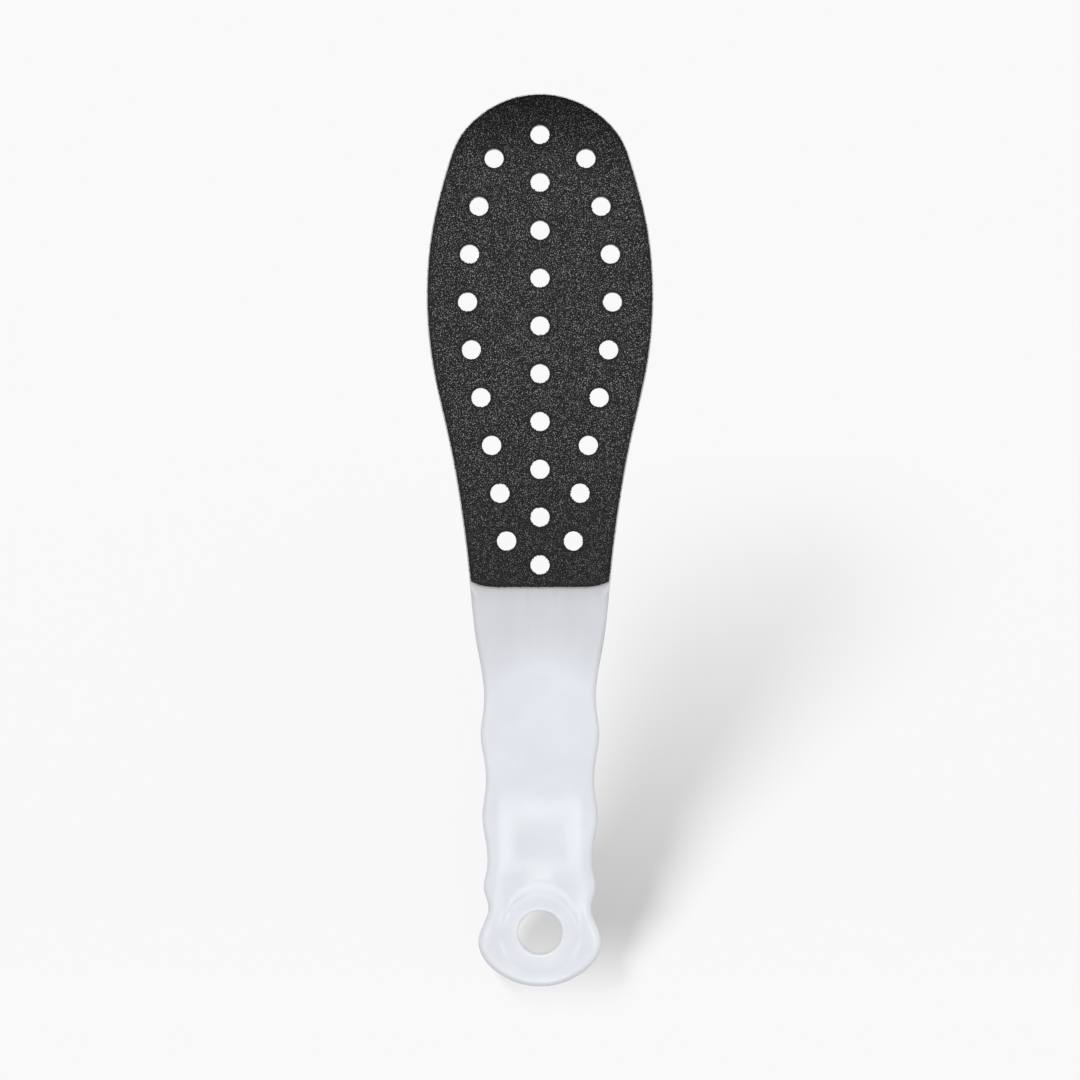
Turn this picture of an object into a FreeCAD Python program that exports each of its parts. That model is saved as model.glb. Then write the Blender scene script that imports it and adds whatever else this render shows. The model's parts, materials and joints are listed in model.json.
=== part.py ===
"""A double-sided foot file: a moulded plastic body with an abrasive sheet bonded to each face of its paddle.

Millimetres, +Z up. The file lies flat, coarse face up, with its length along Y and its paddle towards +Y.
The origin is the bottom centre of the whole file, under the middle of its length.
"""

import FreeCAD
import Part
import math
import os

from FreeCAD import Vector

# Plan of the whole file, from the butt at -Y to the tip at +Y
OVERALL_LENGTH = 240.0
PADDLE_LENGTH = 133.0
PADDLE_WIDTH = 61.0
NECK_WIDTH = 37.4
TIP_RADIUS = 26.0
TIP_ARC_HALF_ANGLE = 58.0
ROUND_END_SHARES = (0.0, 0.35, 0.7, 1.0)
# Each pair is the place up the paddle from neck to tip, and the swell of its side from neck to full width.
PADDLE_SIDE_SHARES = (
    (0.853, 0.524),
    (0.732, 0.867),
    (0.586, 1.0),
    (0.441, 0.849),
    (0.32, 0.545),
    (0.15, 0.199),
)

# Plan of the grip: finger rests with low bumps between them, then the round hanging end
GRIP_TOP_WIDTH = 29.9
GRIP_LOW_WIDTH = 27.6
# Height of a bump as a share of the grip's length, and the share of that height that its flanks keep
BUMP_RISE_SHARE = 0.0132
BUMP_FLANK_SHARE = 0.4
# Places up the grip, from the widest place of the hanging end to the neck. A bump lies between two rests.
FINGER_REST_SHARES = (0.688, 0.457, 0.227, 0.09)
FINGER_BUMP_SHARES = (0.586, 0.349, 0.144)
# The side above the first rest: its place up the grip, and how much of the neck's extra width it keeps.
GRIP_SHOULDER_SHARES = (0.847, 0.57)
HANGING_END_WIDTH = 33.1
HANGING_END_WIDEST = 12.6
BUTT_RADIUS = 19.4
BUTT_ARC_HALF_ANGLE = 46.0

# Thickness of the moulded body
CORE_THICKNESS = 3.6
GRIP_THICKNESS = 9.6
HANG_TAB_THICKNESS = 7.0
GRIP_CROWN = 1.5
CROWN_ACROSS_SHARES = (-1.0, -0.67, -0.33, 0.0, 0.33, 0.67, 1.0)
# Each triple is the place up the handle, the swell from core or tab to full grip, and the share of the crown.
UPPER_SWELL_SHARES = (
    (1.0, 0.0, 0.0),
    (0.9, 0.045, 0.05),
    (0.76, 0.3, 0.35),
    (0.61, 0.68, 0.75),
    (0.48, 0.95, 1.0),
    (0.39, 1.0, 1.0),
)
LOWER_SWELL_SHARES = (
    (0.3, 0.9, 0.95),
    (0.225, 0.56, 0.75),
    (0.15, 0.22, 0.35),
    (0.07, 0.1, 0.12),
    (0.0, 0.06, 0.05),
)
GRIP_EDGE_RADIUS = 1.6
CORE_EDGE_RADIUS = 0.3
EDGE_WALL_SHARE = 0.45

# Hanging hole, in a flat round land on each face
HANG_HOLE_DIAMETER = 11.8
HANG_HOLE_FROM_BUTT = 14.5
HANG_RIM_RADIUS = 0.6
HANG_LAND_DIAMETER = 20.4
HANG_LAND_WALL_ANGLE = 68.0

# Abrasive sheets: an adhesive film, a waterproof backing and a coat of grit on each face
ADHESIVE_THICKNESS = 0.12
BACKING_THICKNESS = 0.28
COARSE_GRIT_THICKNESS = 0.45
FINE_GRIT_THICKNESS = 0.3
SHEET_MARGIN = 0.35
SHEET_END_GAP = 0.4
SHEET_CORNER_RADIUS = 14.8
SHEET_CORNER_RUN = 6.6
SHEET_CORNER_ANGLE = 45.0

# Perforations, punched through both sheets and moulded through the core
PERFORATION_DIAMETER = 5.2
CORE_HOLE_CLEARANCE = 0.15
CENTRE_HOLE_COUNT = 10
FIRST_HOLE_FROM_NECK = 6.3
LAST_HOLE_FROM_TIP = 11.0
SIDE_HOLE_INSET = 11.0

# How far a cutting tool runs past what it cuts
CUT_OVERRUN = 5.0

# Places that follow from the sizes above
BUTT_Y = -OVERALL_LENGTH / 2
TIP_Y = OVERALL_LENGTH / 2
HANDLE_LENGTH = OVERALL_LENGTH - PADDLE_LENGTH
NECK_Y = BUTT_Y + HANDLE_LENGTH
HANGING_END_Y = BUTT_Y + HANGING_END_WIDEST
FINGER_BUMP_HEIGHT = BUMP_RISE_SHARE * (NECK_Y - HANGING_END_Y)
HANG_Y = BUTT_Y + HANG_HOLE_FROM_BUTT
MIDDLE_Z = GRIP_THICKNESS / 2
PART_FOLDER = "parts"


def mirrored(point):
    """The same point on the other side of the file."""
    return Vector(-point.x, point.y, point.z)


def grip_half_width(share):
    """Half the width of the grip without its bumps, tapering from the first rest to the last."""
    first, last = FINGER_REST_SHARES[0], FINGER_REST_SHARES[-1]
    down = (first - share) / (first - last)
    return (GRIP_TOP_WIDTH + (GRIP_LOW_WIDTH - GRIP_TOP_WIDTH) * down) / 2


def grip_point(half_width, share):
    """Point of the grip's right-hand side, at a place up the grip from the hanging end to the neck."""
    return Vector(half_width, HANGING_END_Y + share * (NECK_Y - HANGING_END_Y), 0)


def grip_points():
    """Right-hand side of the grip, from the neck down to the widest place of the hanging end."""
    stations = [(FINGER_REST_SHARES[0], 0.0)]
    for above, bump, below in zip(FINGER_REST_SHARES, FINGER_BUMP_SHARES, FINGER_REST_SHARES[1:]):
        stations.append(((above + bump) / 2, BUMP_FLANK_SHARE))
        stations.append((bump, 1.0))
        stations.append(((bump + below) / 2, BUMP_FLANK_SHARE))
        stations.append((below, 0.0))
    place, kept = GRIP_SHOULDER_SHARES
    shoulder = (GRIP_TOP_WIDTH + kept * (NECK_WIDTH - GRIP_TOP_WIDTH)) / 2
    points = [grip_point(shoulder, place)]
    for share, rise in stations:
        points.append(grip_point(grip_half_width(share) + rise * FINGER_BUMP_HEIGHT, share))
    points.append(grip_point(HANGING_END_WIDTH / 2, 0))
    return points


def paddle_points():
    """Right-hand side of the paddle, from below the tip down to the neck."""
    half_neck = NECK_WIDTH / 2
    full_swell = PADDLE_WIDTH / 2 - half_neck
    points = [
        Vector(half_neck + swell * full_swell, NECK_Y + place * PADDLE_LENGTH, 0)
        for place, swell in PADDLE_SIDE_SHARES
    ]
    points.append(Vector(half_neck, NECK_Y, 0))
    return points


def round_end(end_y, towards_end, radius, half_angle):
    """Right-hand points of a round end of the plan, from its middle outwards."""
    centre = Vector(0, end_y - towards_end * radius, 0)
    angles = [math.radians(half_angle * share) for share in ROUND_END_SHARES]
    return [centre + radius * Vector(math.sin(angle), towards_end * math.cos(angle), 0) for angle in angles]


def drawn_in(points, inset):
    """Points of a right-hand edge without its first and last, moved in at right angles to it."""
    inner = []
    for before, point, after in zip(points, points[1:], points[2:]):
        along = (after - before).normalize()
        inner.append(point + inset * Vector(along.y, -along.x, 0))
    return inner


def outline_face(inset=0.0):
    """Plan of the file as a face in the XY plane, drawn in from its edge by the inset."""
    tip = round_end(TIP_Y - inset, 1, TIP_RADIUS - inset, TIP_ARC_HALF_ANGLE)
    butt = round_end(BUTT_Y + inset, -1, BUTT_RADIUS - inset, BUTT_ARC_HALF_ANGLE)
    tip_end = round_end(TIP_Y, 1, TIP_RADIUS, TIP_ARC_HALF_ANGLE)[-1]
    paddle = drawn_in([tip_end, *paddle_points(), grip_points()[0]], inset)
    grip = [point - Vector(inset, 0, 0) for point in grip_points()]
    right = [*tip, *paddle, *grip, *reversed(butt)]
    left = [mirrored(point) for point in reversed(right[1:-1])]
    outline = Part.BSplineCurve()
    outline.interpolate(Points=right + left, PeriodicFlag=True)
    return Part.Face(Part.Wire(outline.toShape()))


def slab(low_y, high_y, bottom_z, top_z):
    """Block across the whole width of the file between two places along it."""
    width = PADDLE_WIDTH + 2 * CUT_OVERRUN
    return Part.makeBox(width, high_y - low_y, top_z - bottom_z, Vector(-width / 2, low_y, bottom_z))


def prism(face, bottom_z, top_z):
    """A plan face, raised from one height to another."""
    raised = face.copy()
    raised.translate(Vector(0, 0, bottom_z))
    return raised.extrude(Vector(0, 0, top_z - bottom_z))


def crown_row(y, half_thickness, crown):
    """Points across the upper face of the grip, crowned, and wider than the plan that trims it."""
    half_span, half_grip = (NECK_WIDTH + CUT_OVERRUN) / 2, GRIP_TOP_WIDTH / 2
    across = [share * half_span for share in CROWN_ACROSS_SHARES]
    return [Vector(x, y, MIDDLE_Z + half_thickness - crown * (x / half_grip) ** 2) for x in across]


def grip_crown():
    """Upper face of the grip, from core through full grip to hanging tab. It runs past both ends."""
    half_core, half_grip, half_tab = CORE_THICKNESS / 2, GRIP_THICKNESS / 2, HANG_TAB_THICKNESS / 2
    stations = []
    for half_thin, shares in ((half_core, UPPER_SWELL_SHARES), (half_tab, LOWER_SWELL_SHARES)):
        for place, swell, crown in shares:
            half_thickness = half_thin + swell * (half_grip - half_thin)
            stations.append((BUTT_Y + place * HANDLE_LENGTH, half_thickness, crown * GRIP_CROWN))
    above_neck = (NECK_Y + CUT_OVERRUN, *stations[0][1:])
    below_butt = (BUTT_Y - CUT_OVERRUN, *stations[-1][1:])
    surface = Part.BSplineSurface()
    surface.interpolate([crown_row(*station) for station in (above_neck, *stations, below_butt)])
    return surface.toShape()


def rounded_edges(solid, radius):
    """Rounds the edges of a solid that follow its plan, other than those at mid height."""
    plan_edges = [
        edge
        for edge in solid.Edges
        if min(edge.BoundBox.XLength, edge.BoundBox.YLength) > radius
        and abs(edge.BoundBox.Center.z - MIDDLE_Z) > radius / 2
    ]
    return solid.makeFillet(radius, plan_edges)


def handle():
    """Grip and hanging end, up to the neck: a quarter of it, mirrored across and then from top to bottom."""
    end_y = NECK_Y + CUT_OVERRUN / 2
    low_y, top_z = BUTT_Y - CUT_OVERRUN, GRIP_THICKNESS + CUT_OVERRUN
    right_half = Part.makeBox(PADDLE_WIDTH, end_y - low_y, top_z, Vector(0, low_y, 0))
    plan = prism(outline_face(), MIDDLE_Z, top_z)
    under_crown = grip_crown().extrude(Vector(0, 0, -GRIP_THICKNESS))
    blank = plan.common(right_half).common(under_crown)
    radius = min(GRIP_EDGE_RADIUS, EDGE_WALL_SHARE * CORE_THICKNESS)
    rounded = rounded_edges(blank.Solids[0], radius)
    quarter = rounded.cut(slab(NECK_Y, end_y + CUT_OVERRUN, -CUT_OVERRUN, top_z))
    upper = quarter.fuse(quarter.mirror(Vector(0, 0, 0), Vector(1, 0, 0)))
    return upper.fuse(upper.mirror(Vector(0, 0, MIDDLE_Z), Vector(0, 0, 1))).removeSplitter()


def core():
    """Flat paddle blade that carries the two sheets."""
    bottom_z, top_z = MIDDLE_Z - CORE_THICKNESS / 2, MIDDLE_Z + CORE_THICKNESS / 2
    region = slab(NECK_Y, TIP_Y + CUT_OVERRUN, bottom_z - CUT_OVERRUN, top_z + CUT_OVERRUN)
    blank = prism(outline_face(), bottom_z, top_z).common(region)
    radius = min(CORE_EDGE_RADIUS, EDGE_WALL_SHARE * CORE_THICKNESS)
    return rounded_edges(blank.Solids[0], radius)


def hanging_cuts():
    """Bore of the hanging hole, and the sloped land round it on each face."""
    centre = Vector(0, HANG_Y, 0)
    bore = Part.makeCylinder(HANG_HOLE_DIAMETER / 2, GRIP_THICKNESS, centre)
    floor, height = HANG_LAND_DIAMETER / 2, (GRIP_THICKNESS - HANG_TAB_THICKNESS) / 2
    mouth = floor + height * math.tan(math.radians(HANG_LAND_WALL_ANGLE))
    upper_z, lower_z = MIDDLE_Z + HANG_TAB_THICKNESS / 2, MIDDLE_Z - HANG_TAB_THICKNESS / 2
    upper = Part.makeCone(floor, mouth, height, centre + Vector(0, 0, upper_z))
    lower = Part.makeCone(floor, mouth, height, centre + Vector(0, 0, lower_z), Vector(0, 0, -1))
    return [bore, upper, lower]


def with_soft_rim(body):
    """Rounds both mouths of the hanging hole."""
    rims = [
        edge
        for edge in body.Edges
        if isinstance(edge.Curve, Part.Circle)
        and math.isclose(edge.Curve.Radius, HANG_HOLE_DIAMETER / 2)
        and math.isclose(edge.Curve.Center.y, HANG_Y)
    ]
    return body.makeFillet(HANG_RIM_RADIUS, rims)


def perforation_places():
    """Centres of the perforations: a row up the middle, and one along each edge, half a pitch out of step."""
    first_y, last_y = NECK_Y + FIRST_HOLE_FROM_NECK, TIP_Y - LAST_HOLE_FROM_TIP
    pitch = (last_y - first_y) / (CENTRE_HOLE_COUNT - 1)
    inner = outline_face(SIDE_HOLE_INSET)
    places = [Vector(0, first_y + step * pitch, 0) for step in range(CENTRE_HOLE_COUNT)]
    for step in range(CENTRE_HOLE_COUNT - 1):
        y = first_y + (step + 1 / 2) * pitch
        across = inner.common(Part.makeLine(Vector(0, y, 0), Vector(PADDLE_WIDTH, y, 0)))
        side = Vector(across.BoundBox.XMax, y, 0)
        places += [side, mirrored(side)]
    return places


def moulded_body():
    """The one-piece plastic moulding: paddle core, grip and hanging end."""
    body = handle().fuse(core()).cut(Part.makeCompound(hanging_cuts()))
    body = with_soft_rim(body)
    radius = PERFORATION_DIAMETER / 2 + CORE_HOLE_CLEARANCE
    holes = [Part.makeCylinder(radius, GRIP_THICKNESS, place) for place in perforation_places()]
    return body.cut(Part.makeCompound(holes)).Solids[0]


def sheet_end():
    """Plan of what a sheet keeps: all above its lower edge, which turns up towards the corners."""
    low_y = NECK_Y + SHEET_END_GAP
    flat = NECK_WIDTH / 2 - SHEET_CORNER_RUN
    centre = Vector(flat, low_y + SHEET_CORNER_RADIUS, 0)
    half_turn, turn = math.radians(SHEET_CORNER_ANGLE / 2), math.radians(SHEET_CORNER_ANGLE)
    start = Vector(flat, low_y, 0)
    middle = centre + SHEET_CORNER_RADIUS * Vector(math.sin(half_turn), -math.cos(half_turn), 0)
    end = centre + SHEET_CORNER_RADIUS * Vector(math.sin(turn), -math.cos(turn), 0)
    outer = Vector(PADDLE_WIDTH, end.y, 0)
    top = Vector(PADDLE_WIDTH, TIP_Y + CUT_OVERRUN, 0)
    edges = [
        Part.makeLine(mirrored(start), start),
        Part.Arc(start, middle, end).toShape(),
        Part.makeLine(end, outer),
        Part.makeLine(outer, top),
        Part.makeLine(top, mirrored(top)),
        Part.makeLine(mirrored(top), mirrored(outer)),
        Part.makeLine(mirrored(outer), mirrored(end)),
        Part.Arc(mirrored(end), mirrored(middle), mirrored(start)).toShape(),
    ]
    return Part.Face(Part.Wire(edges))


def sheet_plan():
    """Plan of one abrasive sheet, with its perforations."""
    whole = outline_face(SHEET_MARGIN).common(sheet_end())
    up = Vector(0, 0, 1)
    discs = [
        Part.Face(Part.Wire(Part.makeCircle(PERFORATION_DIAMETER / 2, place, up)))
        for place in perforation_places()
    ]
    return whole.cut(Part.makeCompound(discs)).Faces[0]


def sheet_layers(plan, side, way, grit_thickness):
    """Layers of the sheet on one face of the core, from the core outwards, keyed by node name."""
    layers = {}
    inner_z = MIDDLE_Z + way * CORE_THICKNESS / 2
    for name, thickness in (
        ("adhesive_film", ADHESIVE_THICKNESS),
        ("backing_sheet", BACKING_THICKNESS),
        ("grit_coat", grit_thickness),
    ):
        outer_z = inner_z + way * thickness
        layers[f"{side}_{name}"] = prism(plan, min(inner_z, outer_z), max(inner_z, outer_z))
        inner_z = outer_z
    return layers


def main():
    """Builds every piece in place and writes each to its own file."""
    plan = sheet_plan()
    nodes = {
        "moulded_body": moulded_body(),
        **sheet_layers(plan, "front", 1, COARSE_GRIT_THICKNESS),
        **sheet_layers(plan, "rear", -1, FINE_GRIT_THICKNESS),
    }
    os.makedirs(PART_FOLDER, exist_ok=True)
    for name, shape in nodes.items():
        shape.exportStep(f"{PART_FOLDER}/{name}.step")
        print(name, len(shape.Solids), "solid,", round(shape.Volume, 1), "mm3, valid:", shape.isValid())


main()
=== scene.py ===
"""Looks of a double-sided foot file, built round its CAD model and laid out as an add-on.

Metres, in the frame of the CAD model: the file lies flat with its length along Y, its paddle towards +Y and
its coarse face up. The plastic body and the two coats of grit are made here. The backing sheets and the
adhesive films stay as they are in the CAD model, with better materials.
"""

import json
import math

import bmesh
import bpy
import numpy as np
from bpy.props import FloatProperty, FloatVectorProperty, IntProperty, PointerProperty
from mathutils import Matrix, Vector
from mathutils.bvhtree import BVHTree
from mathutils.geometry import delaunay_2d_cdt


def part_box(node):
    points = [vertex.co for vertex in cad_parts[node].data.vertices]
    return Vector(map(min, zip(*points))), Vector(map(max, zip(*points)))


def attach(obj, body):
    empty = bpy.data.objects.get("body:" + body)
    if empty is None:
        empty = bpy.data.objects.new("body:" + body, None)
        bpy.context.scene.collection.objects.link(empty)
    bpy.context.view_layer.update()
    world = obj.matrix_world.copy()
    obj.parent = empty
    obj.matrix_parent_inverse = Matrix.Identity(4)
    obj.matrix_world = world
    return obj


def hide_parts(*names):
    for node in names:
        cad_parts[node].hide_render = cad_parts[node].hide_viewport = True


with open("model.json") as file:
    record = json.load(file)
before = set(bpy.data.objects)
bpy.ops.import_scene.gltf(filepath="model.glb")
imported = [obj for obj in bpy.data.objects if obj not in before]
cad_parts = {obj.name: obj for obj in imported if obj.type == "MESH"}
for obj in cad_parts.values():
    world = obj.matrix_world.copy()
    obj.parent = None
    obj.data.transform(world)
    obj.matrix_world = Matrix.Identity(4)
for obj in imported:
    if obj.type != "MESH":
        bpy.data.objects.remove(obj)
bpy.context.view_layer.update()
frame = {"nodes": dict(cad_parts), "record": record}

bl_info = {
    "name": "Foot File",
    "version": (1, 0, 0),
    "blender": (4, 5, 0),
    "location": "3D View > Sidebar > Foot File",
    "description": "Dresses the CAD model of a foot file as moulded plastic and bonded grit",
    "category": "Mesh",
}

MM = 0.001
BAKE_MAP = "OFBake"
GRAIN_TONE_AND_SHADE = "grain_tone_and_shade"
WALL_AND_SHEET_SHADE = "wall_and_sheet_shade"

# Places that the CAD model gives
BODY_LOW, BODY_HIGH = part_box("moulded_body")
SHEET_LOW, SHEET_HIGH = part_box("front_grit_coat")
BUTT_Y, TIP_Y = BODY_LOW.y, BODY_HIGH.y
MIDDLE_Z = (BODY_LOW.z + BODY_HIGH.z) / 2
GRIP_HALF = BODY_HIGH.z - MIDDLE_Z
CORE_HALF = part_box("front_adhesive_film")[0].z - MIDDLE_Z
HANG_HOLE = next(mount for mount in frame["record"]["mounts"] if mount["name"] == "hang_hole")
HANG_CENTRE = Vector(HANG_HOLE["pos_m"][:2])
HANG_RADIUS = HANG_HOLE["dims"]["r_mm"] * MM

# Fineness of the meshes
OUTLINE_STEPS = 360
EDGE_STEPS = 7
RIM_STEPS = 5
HANG_POINTS = 96
HOLE_POINTS = 24
SHEET_STEPS = 4
LAND_STEP = 0.45 * MM
LAND_REACH = 3.0 * MM
EDGE_CLEAR = 0.6
HOLE_CLEAR = 0.5
INSIDE_ONLY = 1
CLOSEST_POINTS = 1e-9
WELD = 0.001 * MM
FACES_OUT = 0.9
CREASE = math.radians(40.0)

# Grains: points tried for each one that is kept, least and most turn about each axis, and least and most size
GRAIN_TRIES = 2.2
GRAIN_TURNS = ((-0.8, -0.8, 0.0), (0.8, 0.8, 2 * math.pi))
GRAIN_SIZES = ((0.7, 0.7, 0.6), (1.3, 1.3, 1.4))
# Least shade before its curve, and the curve's power: below 1 it makes more grains light
SHADE_LEAST = 0.02
SHADE_CURVE = 0.5
# Shares of a grain's height: how far it stands out of the resin, and how deep under the resin its point lies
GRAIN_STAND = 0.6
GRAIN_SINK = 0.35
# Specular level of grains and resin, low because their faces are broken or pitted finer than the mesh
GLINT = 0.08

# Lamps above the file. The ring of bars has an inner and an outer reach along X, and rows in Y from the butt.
RING_X = (0.24, 0.39)
RING_Y = (-0.13, -0.091, 0.003, 0.063)
LAMP_Z = 1.2
TAIL_Y = -0.175
TAIL_SIZE = (0.22, 0.09)
FRONT_Y = -0.68
FRONT_SIZE = (0.52, 0.8)
SOFT_PLACE = (0.0, 0.65, 1.0)
SOFT_SIZE = (0.9, 0.6)
ONLY_REFLECTED = ("tail_bar", "front_box")

# Each triple is a place up the handle from butt to neck, the swell from tab or core to full grip, and the
# share of the crown.
TAB_SWELL_SHARES = (
    (-0.05, 0.06, 0.05),
    (0.0, 0.06, 0.05),
    (0.07, 0.1, 0.12),
    (0.15, 0.22, 0.35),
    (0.225, 0.56, 0.75),
    (0.3, 0.9, 0.95),
)
CORE_SWELL_SHARES = (
    (0.39, 1.0, 1.0),
    (0.48, 0.95, 1.0),
    (0.61, 0.68, 0.75),
    (0.76, 0.3, 0.35),
    (0.9, 0.045, 0.05),
    (1.0, 0.0, 0.0),
    (1.05, 0.0, 0.0),
)


def linear(colour):
    """Linear RGBA of an sRGB hex colour."""
    parts = [int(colour[i : i + 2], 16) / 255 for i in (0, 2, 4)]
    return [p / 12.92 if p <= 0.04045 else ((p + 0.055) / 1.055) ** 2.4 for p in parts] + [1.0]


def length(name, description, millimetres):
    """Property for a length, with its default in millimetres."""
    return FloatProperty(
        name=name, description=description, default=millimetres * MM, unit="LENGTH", precision=5
    )


def angle(name, description, degrees):
    """Property for an angle, with its default in degrees."""
    return FloatProperty(name=name, description=description, default=math.radians(degrees), subtype="ANGLE")


def factor(name, description, default):
    """Property for a share or a level."""
    return FloatProperty(name=name, description=description, default=default)


def paint(name, description, colour):
    """Property for a colour, with its default as sRGB hex."""
    return FloatVectorProperty(
        name=name, description=description, default=linear(colour), subtype="COLOR", size=4, min=0.0, max=1.0
    )


class BodySettings(bpy.types.PropertyGroup):
    """Sizes and colours of the plastic body."""

    sheet_gap: length("Sheet Gap", "From the neck, where the grip ends, to the sheet's lower edge", 0.4)
    tab_thickness: length("Tab Thickness", "Thickness of the hanging end at its hole", 7.0)
    grip_width: length("Grip Width", "Width over which the grip has its full crown", 29.9)
    crown: length("Crown", "How far the grip falls from its middle to its sides", 1.5)
    grip_edge: length("Grip Edge Radius", "Rounding of the grip's edges", 1.6)
    core_edge: length("Core Edge Radius", "Rounding of the paddle's edges", 0.3)
    edge_run: length("Edge Run-out", "Length over which one rounding turns into the other", 3.0)
    land_diameter: length("Land Diameter", "Flat land round the hanging hole", 20.4)
    land_wall: angle("Land Wall Angle", "Lean of the wall round the land, from upright", 68.0)
    land_blend: length("Land Blend", "Rounding at the foot and the brow of the land's wall", 0.6)
    rim_radius: length("Rim Radius", "Rounding of the hanging hole's rims", 0.6)
    hole_clearance: length("Hole Clearance", "Extra radius of the core's holes round the sheets' holes", 0.15)
    flash_width: length("Flash Width", "Width of the parting line round the edge", 0.24)
    flash_height: length("Flash Height", "How far the parting line stands proud", 0.05)
    mesh_step: length("Mesh Step", "Spacing of the points of the grip's faces", 1.1)
    plastic: paint("Plastic", "Natural polypropylene where the wall is thick", "E3E6EB")
    # Painted shade: the thin colour greys thin walls, and the sheet values darken the plastic beside the
    # sheet
    thin_plastic_shade: paint("Thin Plastic", "The same where the wall is thin", "CACBCE")
    thin_wall: length("Thin Wall", "Wall that shows the thin colour", 2.9)
    thick_wall: length("Thick Wall", "Wall that shows the thick colour", 4.9)
    sheet_shadow_reach: length("Sheet Reach", "How far from the sheet the plastic is darker", 5.0)
    sheet_shadow_loss: length("Sheet Loss", "How much thinner the wall beside the sheet looks", 0.7)
    mark_depth: factor("Mark Depth", "How far flow marks shift the colour from thin to thick", 0.12)


class GritSettings(bpy.types.PropertyGroup):
    """Sizes and colours of the two abrasive faces."""

    coarse_spacing: length("Coarse Spacing", "Least distance between coarse grains", 0.42)
    coarse_width: length("Coarse Width", "Width of a typical coarse grain", 0.56)
    coarse_height: length("Coarse Height", "Height of a typical coarse grain", 0.36)
    fine_spacing: length("Fine Spacing", "Least distance between fine grains", 0.36)
    fine_width: length("Fine Width", "Width of a typical fine grain", 0.44)
    fine_height: length("Fine Height", "Height of a typical fine grain", 0.24)
    rim_width: length("Rim Width", "Band along every cut edge where the grit is pressed down", 0.9)
    rim_dip: length("Rim Dip", "How far the grit is pressed down at a cut edge", 0.1)
    seed: IntProperty(name="Seed", description="Seed of the scatter of the grains", default=7)
    # Painted shade: grains and resin are darker along cut edges, towards the tip and towards the lower edge
    shade_width: length("Shade Width", "Band along every cut edge where the grains are darker", 1.8)
    rim_shade: factor("Rim Shade", "Share of the grains' lightness left at a cut edge", 0.55)
    tip_start: factor("Tip Start", "Share of the sheet's length beyond which it is darker", 0.82)
    tip_shade: factor("Tip Shade", "Share of the grains' lightness left at the paddle's tip", 0.32)
    tip_resin_shade: factor("Tip Resin", "Share of the resin's lightness left at the paddle's tip", 0.45)
    low_end: factor("Low End", "Share of the sheet's length up to which it is darker", 0.35)
    low_shade: factor("Low Shade", "Share of the grains' lightness left at the sheet's lower edge", 0.55)
    grain_dark: paint("Dark Grain", "Darkest grains of silicon carbide", "141415")
    grain_light: paint("Light Grain", "Lightest grains of silicon carbide", "8C8C8E")
    resin: paint("Resin", "Resin between the grains", "1C1C1D")
    backing: paint("Backing", "Latex-treated paper", "3B3835")
    adhesive: paint("Adhesive", "Acrylic adhesive film", "CBC8BE")


class StageSettings(bpy.types.PropertyGroup):
    """Camera, light and floor."""

    frame_width: length("Frame Width", "Width of the picture at the file", 290.6)
    camera_distance: length("Camera Distance", "Height of the camera above the file", 1600.0)
    floor_colour: paint("Floor", "Colour of the floor and of the background", "F9F9F9")
    floor_slope: angle("Floor Slope", "How steeply the floor falls away beyond the butt", 25.0)
    floor_size: length("Floor Size", "Reach of the floor each way", 3000.0)
    floor_bounce: factor("Floor Bounce", "Share of the floor's light that reaches the file", 0.5)
    shadow_right: length("Shadow Right", "How far right of the tip its shadow falls", 79.0)
    shadow_down: length("Shadow Down", "How far towards the butt from the tip its shadow falls", 104.0)
    shadow_depth: factor("Shadow Depth", "Share of the floor's light that the file blocks near its butt", 0.4)
    shadow_start: length("Shadow Start", "From the butt to where its shadow is darkest", 19.0)
    shadow_end: length("Shadow End", "From the butt to where its shadow has faded out", 145.0)
    shadow_front: length("Shadow Front", "How far the shadow reaches in front of the butt", 9.0)
    shadow_blur: angle("Shadow Blur", "Angle across the lamp that casts the shadow", 17.0)
    sun_level: factor("Sun Level", "Light of the shadow's lamp on the floor", 3.0)
    sky_level: factor("Sky Level", "Even light from straight above", 0.8)
    horizon_level: factor("Horizon Level", "Even light from the sides", 0.5)
    beam_level: factor("Beam Level", "Light on the floor under the hole", 0.65)
    key_level: factor("Key Level", "Radiance of the large soft box", 3.0)
    strip_level: factor("Strip Level", "Radiance of the bars and the front box overhead", 2.6)


def settings(name):
    """The add-on's settings of one kind."""
    return getattr(bpy.context.scene, f"foot_file_{name}")


def add_node(tree, kind, inputs=None, **options):
    """Adds a node with its options, and sets or links its inputs by name or number."""
    node = tree.nodes.new(kind)
    for name, value in options.items():
        setattr(node, name, value)
    for name, value in (inputs or {}).items():
        if isinstance(value, bpy.types.NodeSocket):
            tree.links.new(value, node.inputs[name])
        else:
            node.inputs[name].default_value = value
    return node


def math_node(tree, operation, first, second):
    """Result of an operation on two numbers."""
    return add_node(tree, "ShaderNodeMath", {0: first, 1: second}, operation=operation).outputs[0]


def vector_math(tree, operation, first, second):
    """Result of an operation on two vectors, or on a vector and its scale."""
    other = "Scale" if operation == "SCALE" else 1
    return add_node(tree, "ShaderNodeVectorMath", {0: first, other: second}, operation=operation).outputs[0]


def map_range(tree, value, source, target, smooth=False):
    """A value taken from one range to another, and held at the ends of it."""
    inputs = {
        "Value": value,
        "From Min": source[0],
        "From Max": source[1],
        "To Min": target[0],
        "To Max": target[1],
    }
    kind = "SMOOTHSTEP" if smooth else "LINEAR"
    return add_node(tree, "ShaderNodeMapRange", inputs, interpolation_type=kind).outputs["Result"]


def noise(tree, place, size, detail, roughness):
    """Noise with features of a real size."""
    inputs = {"Vector": place, "Scale": 1 / size, "Detail": detail, "Roughness": roughness}
    return add_node(tree, "ShaderNodeTexNoise", inputs).outputs["Fac"]


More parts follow.
